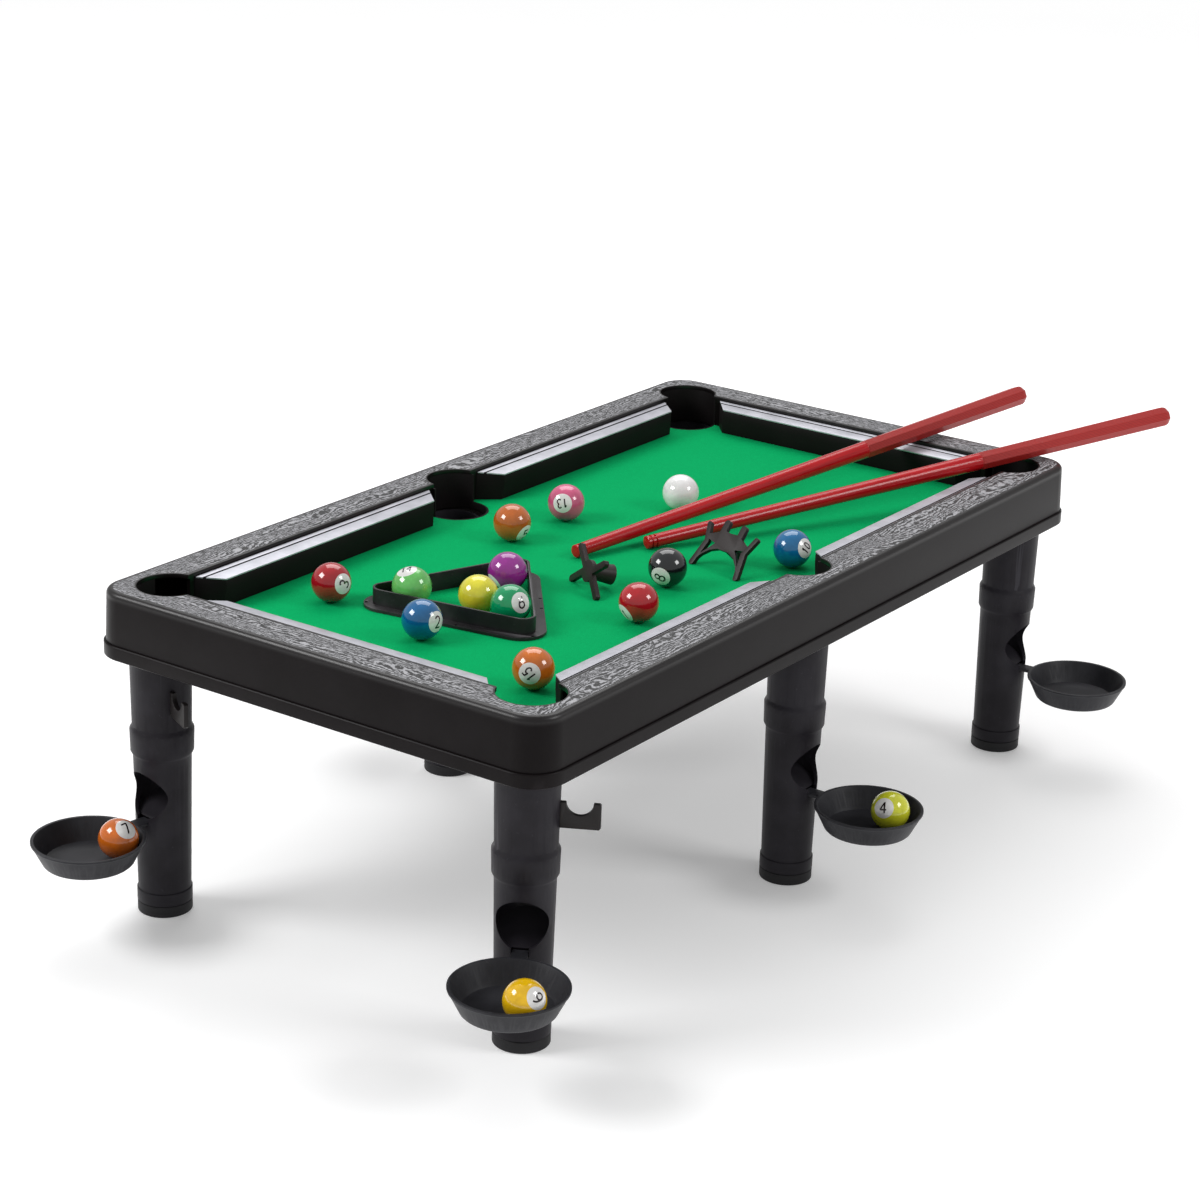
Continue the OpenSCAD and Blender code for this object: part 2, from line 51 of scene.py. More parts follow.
body_of_node = {n: b for b, ns in frame["record"]["behaviour"]["bodies"].items() for n in ns}
slot_of_node = {s["node"]: s["material_slot"] for s in frame["record"]["subparts"]}
MM = 0.001

# Main dimensions of the CAD model, in metres
TOP_HALF = (0.316, 0.168)
CORNER_R = 0.020
RAIL_W = 0.028
TOP_Z = 0.214
CLOTH_Z = 0.1915
POCKET = (0.282, 0.136)
POCKET_R = 0.0205
BALL_R = 0.0125
CUE_L = 0.439
GRIP_Z = 0.271  # start of a cue's grip, from its tip
INSET = 0.0076  # of the cloth's edge from the outside of the frame
HOLE_R = 0.0220  # of a pocket hole in the cloth


def link(name, data):
    ob = bpy.data.objects.new(name, data)
    bpy.context.scene.collection.objects.link(ob)
    return ob


def placed(x, y, z, at):
    """The matrix that puts an object's axes along x, y and z, with its origin at a point."""
    m = Matrix((x, y, z)).transposed().to_4x4()
    m.translation = at
    return m


# ---------------------------------------------------------------- camera
def view_axes(yaw, pitch, roll):
    """Right, up and back of a camera, from angles in degrees."""
    yaw, pitch, roll = (math.radians(a) for a in (yaw, pitch, roll))
    back = Vector((math.sin(yaw) * math.cos(pitch), -math.cos(yaw) * math.cos(pitch), math.sin(pitch)))
    right = (-back).cross(Vector((0, 0, 1))).normalized()
    up = right.cross(-back)
    c, s = math.cos(roll), math.sin(roll)
    return c * right + s * up, -s * right + c * up, back


# Fitted to the photograph: yaw, pitch and roll in degrees, place in metres, lens in millimetres
RIGHT, UP, BACK = view_axes(-55.34, 19.87, 1.95)
CAM_POS = Vector((-1.5165, -1.0337, 0.8209))
SENSOR = 36
LENS = 88.64


def add_camera():
    data = bpy.data.cameras.new("camera")
    data.sensor_width = SENSOR
    data.lens = LENS
    data.clip_start = 0.05
    data.clip_end = 60
    cam = link("camera", data)
    cam.matrix_world = placed(RIGHT, UP, BACK, CAM_POS)
    bpy.context.scene.camera = cam


add_camera()


# ---------------------------------------------------------------- material helpers
class Net:
    """A new material and shorthand for its nodes. Values may be numbers or sockets."""

    def __init__(self, name, **sockets):
        self.mat = bpy.data.materials.new(name)
        self.mat.use_nodes = True
        self.tree = self.mat.node_tree
        self.bsdf = self.tree.nodes["Principled BSDF"]
        for key, value in sockets.items():
            self.put(self.bsdf.inputs[key.replace("_", " ")], value)

    def put(self, socket, value):
        if isinstance(value, bpy.types.NodeSocket):
            self.tree.links.new(value, socket)
        elif isinstance(value, (tuple, list)) and len(value) == 3 and socket.type == "RGBA":
            socket.default_value = (*value, 1)
        else:
            socket.default_value = value

    def node(self, kind, **inputs):
        n = self.tree.nodes.new(kind)
        for key, value in inputs.items():
            self.put(n.inputs[key], value)
        return n

    def math(self, op, a, b=0.0, c=0.0):
        n = self.tree.nodes.new("ShaderNodeMath")
        n.operation = op
        for i, v in enumerate((a, b, c)):
            if i < len(n.inputs):
                self.put(n.inputs[i], v)
        return n.outputs[0]

    def point(self):
        return self.node("ShaderNodeTexCoord").outputs["Object"]

    def xyz(self, vector):
        s = self.node("ShaderNodeSeparateXYZ", Vector=vector)
        return s.outputs[0], s.outputs[1], s.outputs[2]

    def vec(self, x, y, z):
        return self.node("ShaderNodeCombineXYZ", X=x, Y=y, Z=z).outputs[0]

    def drawn(self, x, x_scale, y, y_scale, z=0.0, detail=2, rough=0.6):
        """Noise with its own scale along x and y, for streaks."""
        at = self.vec(self.math("MULTIPLY", x, x_scale), self.math("MULTIPLY", y, y_scale), z)
        return self.noise(at, 1, detail, rough)

    def noise(self, vector, scale=1.0, detail=2.0, rough=0.5):
        n = self.node("ShaderNodeTexNoise", Vector=vector, Scale=scale, Detail=detail, Roughness=rough)
        return n.outputs["Fac"]

    def step(self, value, low, high, a=0.0, b=1.0):
        """Smooth change from a to b as value goes from low to high."""
        n = self.tree.nodes.new("ShaderNodeMapRange")
        n.interpolation_type = "SMOOTHSTEP"
        for i, v in enumerate((value, low, high, a, b)):
            self.put(n.inputs[i], v)
        return n.outputs[0]

    def mix(self, fac, a, b):
        n = self.tree.nodes.new("ShaderNodeMix")
        n.data_type = "RGBA"
        self.put(n.inputs[0], fac)
        self.put(n.inputs[6], a)
        self.put(n.inputs[7], b)
        return n.outputs[2]

    def bump(self, height, distance=1.0):
        return self.node("ShaderNodeBump", Height=height, Distance=distance, Strength=1.0).outputs[0]

    def set(self, **sockets):
        for key, value in sockets.items():
            self.put(self.bsdf.inputs[key.replace("_", " ")], value)
        return self.mat


def plastic(name, color, light, rough=0.4, grain=900.0, depth=0.02, edge=0.5, specular=0.28):
    """Moulded plastic: a fine skin texture, faint flow marks, and sharp edges painted a little lighter as a
    highlight.
    """
    n = Net(name)
    p = n.point()
    fine = n.noise(p, grain, 3, 0.6)
    flow = n.noise(p, 28, 3, 0.55)
    specks = n.step(n.noise(p, 420, 2, 0.7), 0.66, 0.74)
    # painted highlight: sharp edges, found by pointiness, are drawn lighter; edge sets how much
    painted_edge_highlight = n.step(n.node("ShaderNodeNewGeometry").outputs["Pointiness"], 0.53, 0.62)
    tone = n.math("MULTIPLY_ADD", painted_edge_highlight, edge, n.math("MULTIPLY", n.step(flow, 0.3, 0.7), 0.35))
    tone = n.math("ADD", tone, n.math("MULTIPLY", specks, 0.25))
    roughness = n.math("ADD", n.math("MULTIPLY_ADD", flow, 0.14, rough - 0.07), n.math("MULTIPLY", fine, 0.05))
    return n.set(Base_Color=n.mix(tone, color, light), Roughness=roughness, Specular_IOR_Level=specular,
                 Normal=n.bump(fine, depth * MM))


def grain_frame():
    """Rail frame: black satin plastic with an embossed, greyed wood grain on the flat of the top."""
    n = Net("frame_grained")
    p = n.point()
    x, y, z = n.xyz(p)
    ax, ay = n.math("ABSOLUTE", x), n.math("ABSOLUTE", y)
    qx = n.math("SUBTRACT", ax, TOP_HALF[0] - CORNER_R)
    qy = n.math("SUBTRACT", ay, TOP_HALF[1] - CORNER_R)
    cx, cy = n.math("MAXIMUM", qx, 0), n.math("MAXIMUM", qy, 0)
    length = n.math("SQRT", n.math("ADD", n.math("MULTIPLY", cx, cx), n.math("MULTIPLY", cy, cy)))
    inner = n.math("MINIMUM", n.math("MAXIMUM", qx, qy), 0)
    inward = n.math("SUBTRACT", CORNER_R, n.math("ADD", length, inner))
    dy = n.math("SUBTRACT", ay, POCKET[1])
    dy2 = n.math("MULTIPLY", dy, dy)
    dx = n.math("MINIMUM", n.math("ABSOLUTE", n.math("SUBTRACT", ax, POCKET[0])), ax)
    pocket = n.math("SQRT", n.math("ADD", n.math("MULTIPLY", dx, dx), dy2))
    # along and across each rail; the grain turns at the mitred corners
    side = n.math("GREATER_THAN", qy, qx)
    other = n.math("SUBTRACT", 1, side)
    along = n.math("ADD", n.math("MULTIPLY", x, side), n.math("MULTIPLY", y, other))
    across = n.math("ADD", n.math("MULTIPLY", y, side), n.math("MULTIPLY", x, other))
    broad = n.drawn(along, 7, across, 34, side, 1, 0.5)
    sway = n.drawn(along, 30, across, 80, 4.0, 2, 0.5)
    bent = n.math("ADD", across, n.math("MULTIPLY_ADD", broad, 0.030, n.math("MULTIPLY", sway, 0.009)))
    ring_width = 0.0019
    rings = n.math("SINE", n.math("MULTIPLY", bent, 2 * math.pi / ring_width))
    streak = n.drawn(along, 185, bent, 1120, 2.0)
    pores = n.drawn(along, 520, bent, 1700, 8.0)
    value = n.math("ADD", n.math("MULTIPLY", rings, 0.05),
                   n.math("ADD", n.math("MULTIPLY", streak, 0.6), n.math("MULTIPLY", pores, 0.4)))
    relief = n.step(value, 0.455, 0.56)
    # ragged outer border of the grain, and a plain black line beside the cushions and pockets
    teeth = n.drawn(along, 600, across, 200, 1.0, 2, 0.7)
    border = n.math("SUBTRACT", inward, n.math("MULTIPLY", teeth, 0.0021))
    mask = n.math("MULTIPLY", n.step(border, 0.0028, 0.0034), n.step(inward, RAIL_W - 0.0024, RAIL_W - 0.0020, 1, 0))
    mask = n.math("MULTIPLY", mask, n.step(pocket, POCKET_R + 0.0007, POCKET_R + 0.0011))
    mask = n.math("MULTIPLY", mask, n.step(z, TOP_Z - 0.0006, TOP_Z - 0.0003))
    fine = n.noise(p, 1100, 3, 0.6)
    flow = n.noise(p, 22, 3, 0.55)
    black = n.mix(n.step(flow, 0.3, 0.75), (0.0036, 0.0022, 0.0024), (0.0068, 0.0052, 0.0056))
    grain = n.mix(relief, (0.010, 0.010, 0.011), (0.36, 0.36, 0.38))
    height = n.math("ADD", n.math("MULTIPLY", n.math("MULTIPLY", relief, mask), 0.00022),
                    n.math("MULTIPLY", fine, 0.000012))
    rough = n.math("ADD", n.math("MULTIPLY_ADD", flow, 0.12, 0.3), n.math("MULTIPLY", mask, 0.12))
    shine = n.step(z, TOP_Z - 0.006, TOP_Z - 0.0015, 0.09, 0.4)
    return n.set(Base_Color=n.mix(mask, black, grain), Roughness=rough, Specular_IOR_Level=shine,
                 Normal=n.bump(height))


def felt_cloth_material():
    n = Net("felt_green", Roughness=0.92, Sheen_Weight=0.08, Sheen_Roughness=0.45, Sheen_Tint=(0.05, 0.9, 0.4),
            Specular_IOR_Level=0.04)
    p = n.point()
    nap = n.noise(p, 1500, 3, 0.7)
    clumps = n.noise(p, 260, 3, 0.6)
    broad = n.noise(p, 9, 2, 0.5)
    base = n.mix(n.step(nap, 0.3, 0.7), (0.0, 0.27, 0.078), (0.001, 0.40, 0.122))
    base = n.mix(n.math("MULTIPLY", n.step(clumps, 0.42, 0.64), 0.35), base, (0.0, 0.30, 0.09))
    base = n.mix(n.math("MULTIPLY", n.step(broad, 0.35, 0.7), 0.25), base, (0.0, 0.36, 0.11))
    return n.set(Base_Color=base, Normal=n.bump(n.math("ADD", n.math("MULTIPLY", nap, 0.00008),
                                                       n.math("MULTIPLY", clumps, 0.00006))))


def trim_material():
    n = Net("trim_silver")
    p = n.point()
    x, y, z = n.xyz(p)
    ax, ay = n.math("ABSOLUTE", x), n.math("ABSOLUTE", y)
    streaks = n.drawn(x, 60, y, 60, 0.0, 3)
    fine = n.noise(p, 1300, 2, 0.6)
    base = n.mix(n.step(streaks, 0.3, 0.7), (0.44, 0.445, 0.49), (0.55, 0.55, 0.605))
    base = n.mix(n.math("MULTIPLY", n.step(fine, 0.55, 0.75), 0.25), base, (0.42, 0.42, 0.45))
    inward = n.math("MINIMUM", n.math("SUBTRACT", TOP_HALF[0], ax), n.math("SUBTRACT", TOP_HALF[1], ay))
    outer = n.step(inward, RAIL_W + 0.0009, RAIL_W + 0.0012, 1, 0)
    groove = n.math("MULTIPLY", n.step(inward, RAIL_W + 0.0040, RAIL_W + 0.0043),
                    n.step(inward, RAIL_W + 0.0055, RAIL_W + 0.0058, 1, 0))
    dark = n.math("MAXIMUM", outer, groove)
    rough = n.math("MULTIPLY_ADD", streaks, 0.16, 0.26)
    return n.set(Base_Color=n.mix(dark, base, (0.008, 0.006, 0.008)), Roughness=rough,
                 Metallic=n.math("MULTIPLY", n.math("SUBTRACT", 1, dark), 0.3),
                 Specular_IOR_Level=n.math("MULTIPLY_ADD", dark, -0.3, 0.4), Normal=n.bump(fine, 0.015 * MM))


def ball_material(name, color):
    """Polished resin with a faint marbling."""
    n = Net(name, Roughness=0.12, Coat_Weight=0.6, Coat_Roughness=0.05, Specular_IOR_Level=0.55)
    p = n.point()
    cloud = n.noise(p, 120, 3, 0.6)
    dust = n.noise(p, 900, 2, 0.7)
    dark = tuple(c * 0.78 for c in color)
    return n.set(Base_Color=n.mix(n.step(cloud, 0.3, 0.75), dark, color),
                 Roughness=n.math("MULTIPLY_ADD", n.step(dust, 0.5, 0.8), 0.1, 0.1))


def cue_material():
    n = Net("cue_red", Coat_Weight=0.3, Coat_Roughness=0.12, Specular_IOR_Level=0.2)
    p = n.point()
    x, y, z = n.xyz(p)
    long = n.drawn(x, 900, y, 900, n.math("MULTIPLY", z, 25), 3)
    fine = n.noise(p, 1500, 3, 0.7)
    grip = n.step(z, GRIP_Z - 0.0005, GRIP_Z + 0.0005)
    # fine ribs along the grip, with painted shade in the valleys between them and lighter crests
    turn = n.math("ARCTAN2", y, x)
    rib_count = 40
    ribs = n.math("MULTIPLY_ADD", n.math("SINE", n.math("MULTIPLY", turn, rib_count)), 0.5, 0.5)
    base = n.mix(n.step(long, 0.3, 0.7), (0.36, 0.0035, 0.007), (0.48, 0.007, 0.011))
    grip_with_painted_rib_shade = n.mix(n.math("MULTIPLY_ADD", ribs, 0.6, n.math("MULTIPLY", fine, 0.4)),
                   (0.20, 0.006, 0.006), (0.46, 0.022, 0.018))
    base = n.mix(grip, base, grip_with_painted_rib_shade)
    rough = n.math("ADD", n.math("MULTIPLY", grip, 0.25), n.math("MULTIPLY_ADD", long, 0.1, 0.17))
    height = n.math("ADD", n.math("MULTIPLY", fine, n.math("MULTIPLY_ADD", grip, 0.00005, 0.000006)),
                    n.math("MULTIPLY", n.math("MULTIPLY", ribs, grip), 0.0001))
    return n.set(Base_Color=base, Roughness=rough, Normal=n.bump(height))


def board_material():
    n = Net("fibreboard", Roughness=0.8)
    p = n.point()
    fibres = n.noise(p, 700, 4, 0.7)
    return n.set(Base_Color=n.mix(n.step(fibres, 0.3, 0.7), (0.20, 0.115, 0.055), (0.36, 0.23, 0.12)),
                 Normal=n.bump(fibres, 0.1 * MM))


def steel_material():
    n = Net("screw_steel", Metallic=1.0)
    p = n.point()
    x, y, z = n.xyz(p)
    brushed = n.drawn(x, 200, y, 3000, z, 3)
    return n.set(Base_Color=n.mix(brushed, (0.42, 0.42, 0.44), (0.66, 0.66, 0.68)),
                 Roughness=n.math("MULTIPLY_ADD", brushed, 0.2, 0.25))


# in plastic(), edge sets the strength of the painted highlight on sharp edges
MATERIALS = {
    "frame_plastic": grain_frame(),
    "pan_plastic": plastic("pan_black", (0.0036, 0.0022, 0.0024), (0.014, 0.0115, 0.0125), 0.34, specular=0.1),
    "board": board_material(),
    "felt": felt_cloth_material(),
    "cushion_rubber": plastic("cushion_black", (0.006, 0.004, 0.0045), (0.012, 0.009, 0.01), 0.6, edge=0.2,
                              specular=0.12),
    "trim_silver": trim_material(),
    "liner_plastic": plastic("liner_black", (0.005, 0.0038, 0.004), (0.014, 0.012, 0.013), 0.55, edge=0.2,
                             specular=0.1),
    "screw_steel": steel_material(),
    "leg_plastic": plastic("leg_black", (0.011, 0.0095, 0.0125), (0.042, 0.04, 0.048), 0.42, grain=1000, edge=0.6,
                           specular=0.16),
    "foot_plastic": plastic("foot_black", (0.009, 0.0085, 0.0095), (0.03, 0.03, 0.034), 0.55, grain=1300, depth=0.04),
    "tray_plastic": plastic("tray_black", (0.016, 0.016, 0.019), (0.06, 0.06, 0.068), 0.42, edge=0.8, specular=0.22),
    "hook_plastic": plastic("hook_black", (0.009, 0.007, 0.007), (0.03, 0.026, 0.026), 0.45),
    "rack_plastic": plastic("rack_black", (0.009, 0.008, 0.009), (0.10, 0.095, 0.10), 0.36, edge=0.9),
    "rest_plastic": plastic("rest_black", (0.014, 0.0085, 0.0085), (0.045, 0.033, 0.033), 0.42),
    "cue_red": cue_material(),
}
BALL_WHITE = ball_material("ball_patch_white", (0.88, 0.87, 0.85))
BALL_INK = ball_material("ball_number_ink", (0.02, 0.012, 0.014))


# ---------------------------------------------------------------- mesh helpers
def new_object(name, bm, materials, sharp=35):
    """An object from a bmesh; edges sharper than the angle stay sharp."""
    me = bpy.data.meshes.new(name)
    bm.to_mesh(me)
    bm.free()
    me.shade_smooth()
    me.set_sharp_from_angle(angle=math.radians(sharp))
    for m in materials:
        me.materials.append(m)
    return link(name, me)


def stand_for(ob, node):
    """The new piece takes a CAD node's place and body; the node is hidden."""
    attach(ob, body_of_node[node])
    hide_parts(node)
    return ob


def refine(node, width):
    """A clean copy of a CAD node's shape with its sharp edges rounded to a moulding's small radius (mm)."""
    crease = math.radians(28)
    bm = bmesh.new()
    bm.from_mesh(nodes[node].data)
    bmesh.ops.remove_doubles(bm, verts=bm.verts, dist=2e-6)
    for f in bm.faces:
        f.smooth = True
        f.material_index = 0
    bmesh.ops.dissolve_limit(bm, angle_limit=math.radians(0.6), verts=bm.verts, edges=bm.edges)
    edges = [e for e in bm.edges if len(e.link_faces) == 2 and e.calc_face_angle(0) > crease]
    bmesh.ops.bevel(bm, geom=edges, offset=width * MM, segments=2, profile=0.6, affect="EDGES", clamp_overlap=True)
    ob = new_object(node + "_shape", bm, [MATERIALS[slot_of_node[node]]])
    return stand_for(ob, node)


def lathe(bm, profile, turns, radius_of=None):
    """Turns a profile of (radius, height) about Z. radius_of(i, angle) may scale a ring's radius."""
    rings = []
    for i, (r, z) in enumerate(profile):
        if r < 1e-7:
            rings.append([bm.verts.new((0, 0, z))])
            continue
        ring = []
        for k in range(turns):
            a = 2 * math.pi * k / turns
            s = radius_of(i, a) if radius_of else 1
            ring.append(bm.verts.new((r * s * math.cos(a), r * s * math.sin(a), z)))
        rings.append(ring)
    for low, high in zip(rings, rings[1:]):
        for k in range(turns):
            j = (k + 1) % turns
            if len(low) == 1:
                bm.faces.new((low[0], high[j], high[k]))
            elif len(high) == 1:
                bm.faces.new((low[k], low[j], high[0]))
            else:
                bm.faces.new((low[k], low[j], high[j], high[k]))


# ---------------------------------------------------------------- numbers on the balls
def curve(cx, cy, rx, ry, a0, a1, n=14):
    return [(cx + rx * math.cos(math.radians(a0 + (a1 - a0) * i / n)),
             cy + ry * math.sin(math.radians(a0 + (a1 - a0) * i / n))) for i in range(n + 1)]


SIX = [curve(0, -0.2, 0.26, 0.28, 0, 360, 22), curve(0.16, -0.2, 0.42, 0.7, 100, 180)]
DIGITS = {
    "0": [curve(0, 0, 0.25, 0.48, 0, 360, 24)],
    "1": [[(-0.16, 0.26), (0.02, 0.48), (0.02, -0.48)]],
    "2": [curve(0, 0.22, 0.25, 0.26, 165, -30) + [(-0.25, -0.48), (0.28, -0.48)]],
    "3": [curve(0, 0.25, 0.23, 0.23, 150, -90), curve(0, -0.23, 0.27, 0.25, 90, -150)],
    "4": [[(0.12, -0.48), (0.12, 0.48), (-0.28, -0.16), (0.3, -0.16)]],
    "5": [[(0.24, 0.48), (-0.18, 0.48)], [(-0.18, 0.48), (-0.2, 0.06)] + curve(0.0, -0.17, 0.27, 0.31, 130, -150)],
    "6": SIX,
    "7": [[(-0.25, 0.48), (0.26, 0.48), (-0.08, -0.48)]],
    "8": [curve(0, 0.25, 0.21, 0.23, 0, 360, 20), curve(0, -0.23, 0.26, 0.25, 0, 360, 20)],
    "9": [[(-x, -y) for x, y in line] for line in SIX],
}


def denser(line, gap=0.06):
    out = [line[0]]
    for (x0, y0), (x1, y1) in zip(line, line[1:]):
        n = max(1, math.ceil(math.hypot(x1 - x0, y1 - y0) / gap))
        out += [(x0 + (x1 - x0) * i / n, y0 + (y1 - y0) * i / n) for i in range(1, n + 1)]
    return out


def wrap(a, b, radius):
    """A point (a, b) of a flat drawing laid on the ball round its +Z pole."""
    d = math.hypot(a, b)
    if d < 1e-9:
        return Vector((0, 0, radius))
    t = d / BALL_R
    return Vector((math.sin(t) * a / d, math.sin(t) * b / d, math.cos(t))) * radius


def draw_number(bm, text, size, turn):
    """Digits as thin ribbons on the ball, round its +Z pole."""
    half = 0.075 * size
    c, s = math.cos(turn), math.sin(turn)
    squeeze = 0.8 if len(text) > 1 else 1.0
    for k, ch in enumerate(text):
        shift = (k - (len(text) - 1) / 2) * 0.62 * size
        for n_line, line in enumerate(DIGITS[ch]):
            pts = [(x * size * squeeze + shift, y * size) for x, y in denser(line)]
            closed = math.hypot(pts[0][0] - pts[-1][0], pts[0][1] - pts[-1][1]) < 1e-6
            rows = []
            for i, (x, y) in enumerate(pts):
                if closed:
                    a, b = pts[(i - 1) % (len(pts) - 1)], pts[(i + 1) % (len(pts) - 1)]
                else:
                    a, b = pts[max(i - 1, 0)], pts[min(i + 1, len(pts) - 1)]
                tx, ty = b[0] - a[0], b[1] - a[1]
                d = math.hypot(tx, ty) or 1
                nx, ny = -ty / d * half, tx / d * half
                row = []
                for w in (1, -1):
                    px, py = x + nx * w, y + ny * w
                    height = BALL_R + INK_PROUD + n_line * 0.01 * MM
                    row.append(bm.verts.new(wrap(px * c - py * s, px * s + py * c, height)))
                rows.append(row)
            for r0, r1 in zip(rows, rows[1:]):
                bm.faces.new((r0[0], r0[1], r1[1], r1[0])).material_index = 2


# name: (number, where the number's patch is seen on the ball: right, up; towards the camera, turn in degrees)
BALLS = {
    "ball_red": ("3", 0.72, -0.09, 1, 75), "ball_light_green": ("14", -0.25, 0.86, 1, 20),
    "ball_blue": ("2", 0.80, -0.12, 1, 10), "ball_purple": ("12", -0.74, -0.62, 1, 0),
    "ball_yellow": ("1", 0.3, -0.6, -1, 0), "ball_green": ("6", 0.58, 0.10, 1, 0),
    "ball_brown": ("5", 0.70, -0.64, 1, 30), "ball_pink": ("13", -0.21, -0.08, 1, 186),
    "ball_cue": ("", 0, 0, 1, 0), "ball_black": ("8", -0.42, -0.53, 1, 60),
    "ball_dark_red": ("11", -0.75, -0.6, 1, 0), "ball_sky_blue": ("10", 0.70, 0.0, 1, 60),
    "ball_amber": ("15", -0.18, -0.25, 1, 125), "ball_orange": ("7", 0.5, 0.55, 1, 20),
    "ball_gold": ("9", 0.61, 0.23, 1, -60), "ball_lime": ("4", -0.45, 0.2, 1, 0),
}
PATCH_ANGLE = 31.0  # degrees from the middle of the white patch to its edge
DIGIT_HEIGHT = {1: 0.0072, 2: 0.0062}  # by the number of digits
INK_PROUD = 0.03 * MM
TINT = {
    "ball_red": (0.42, 0.008, 0.016), "ball_light_green": (0.15, 0.56, 0.13), "ball_blue": (0.004, 0.13, 0.34),
    "ball_purple": (0.33, 0.025, 0.30), "ball_yellow": (0.80, 0.72, 0.04), "ball_green": (0.0, 0.33, 0.12),
    "ball_brown": (0.55, 0.13, 0.015), "ball_pink": (0.68, 0.11, 0.24), "ball_cue": (0.95, 0.945, 0.94),
    "ball_black": (0.009, 0.011, 0.013), "ball_dark_red": (0.50, 0.008, 0.016),
    "ball_sky_blue": (0.004, 0.15, 0.36), "ball_amber": (0.62, 0.15, 0.01),
    "ball_orange": (0.72, 0.16, 0.01), "ball_gold": (0.95, 0.56, 0.004), "ball_lime": (0.72, 0.74, 0.03),
}


def make_ball(node):
    number, right, up, front, turn = BALLS[node]
    patch_rings, rest_rings, turns = 22, 50, 96
    patch = math.radians(PATCH_ANGLE)
    angles = [patch * i / patch_rings for i in range(patch_rings + 1)]
    angles += [patch + (math.pi - patch) * i / rest_rings for i in range(1, rest_rings + 1)]
    bm = bmesh.new()
    profile = [(BALL_R * math.sin(a) if 0 < i < len(angles) - 1 else 0, BALL_R * math.cos(a))
               for i, a in enumerate(angles)]
    lathe(bm, profile[::-1], turns)
    if number:
        edge = BALL_R * math.cos(patch)
        for f in bm.faces:
            f.material_index = 1 if f.calc_center_median().z > edge - 1e-7 else 0
        draw_number(bm, number, DIGIT_HEIGHT[len(number)], math.radians(turn))
    color = MATERIALS.setdefault(node, ball_material(node + "_resin", TINT[node]))
    ob = new_object(node + "_shape", bm, [color, BALL_WHITE, BALL_INK], 60)
    lo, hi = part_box(node)
    depth = math.sqrt(max(0.0, 1 - right * right - up * up)) * front
    pole = (RIGHT * right + UP * up + BACK * depth).normalized()
    side = UP.cross(pole).normalized()
    ob.matrix_world = placed(side, pole.cross(side), pole, (lo + hi) / 2)
    return stand_for(ob, node)


# ---------------------------------------------------------------- cues
BED_DROP = 22.5  # of the cloth below the top of the rail (mm)
CUE_CONTACT_R = 7.05  # of a cue where it lies on the rail (mm)
CUE_TIP_R = 4.4  # of its tip, whose underside is CUE_TIP_GAP above the cloth (mm)
CUE_TIP_GAP = 0.35
SHAFT_R = 6.0  # where the grip starts (mm)
FACETS = 8  # round the grip
# tip x, tip y (mm), heading (degrees), x where it crosses the rail (mm)
CUES = {"cue_one": (-30.1, 15.1, -13.05, 288.0), "cue_two": (15.2, -9.9, -24.63, 302.0)}


def make_cue(node):
    x, y, heading, crossing = CUES[node]
    heading = math.radians(heading)
    run = (crossing - x) / math.cos(heading)
    rise = math.atan2(BED_DROP + CUE_CONTACT_R - CUE_TIP_R, run)
    tip = [(0, 0), (3.3, 0), (3.9, 0.25), (4.4, 0.8), (4.4, 2.2), (4.15, 2.6), (3.6, 2.8), (3.6, 3.5),
           (4.15, 3.7), (4.4, 4.0), (4.4, 5.4), (4.15, 5.8), (3.6, 6.0), (3.6, 6.8), (4.2, 7.0), (4.4, 7.2)]
    profile = [(r * MM, z * MM) for r, z in tip]
    shaft_z = profile[-1][1]
    shaft_parts, grip_parts = 30, 24
    for i in range(1, shaft_parts + 1):
        t = i / shaft_parts
        profile.append(((CUE_TIP_R + (SHAFT_R - CUE_TIP_R) * t) * MM, shaft_z + (GRIP_Z - shaft_z) * t))
    grip = [(6.2, GRIP_Z + 0.0004), (6.5, GRIP_Z + 0.001)]
    for i in range(1, grip_parts + 1):
        t = i / grip_parts
        grip.append((6.5 + 0.8 * t, GRIP_Z + 0.001 + (CUE_L - GRIP_Z - 0.0052) * t))
    grip += [(7.2, CUE_L - 0.0034), (6.8, CUE_L - 0.0018), (6.2, CUE_L - 0.0004), (5.8, CUE_L), (0, CUE_L)]
    first = len(profile)
    profile += [(r * MM, z) for r, z in grip]

    def facet(i, a):
        """Flattens the round grip into its facets."""
        if i < first:
            return 1
        step = 2 * math.pi / FACETS
        off = (a % step) - step / 2
        return math.cos(step / 2) / math.cos(off)

    bm = bmesh.new()
    lathe(bm, profile, 64, radius_of=facet)
    ob = new_object(node + "_shape", bm, [MATERIALS["cue_red"]], 24)
    axis = Vector((math.cos(heading) * math.cos(rise), math.sin(heading) * math.cos(rise), math.sin(rise)))
    side = Vector((-math.sin(heading), math.cos(heading), 0))
    tip_middle = Vector((x * MM, y * MM, CLOTH_Z + (CUE_TIP_R + CUE_TIP_GAP) * MM))
    ob.matrix_world = placed(side, axis.cross(side), axis, tip_middle)
    return stand_for(ob, node)


# ---------------------------------------------------------------- the cloth
CLOTH_HALF = (TOP_HALF[0] - INSET, TOP_HALF[1] - INSET)
CLOTH_T = 0.0005


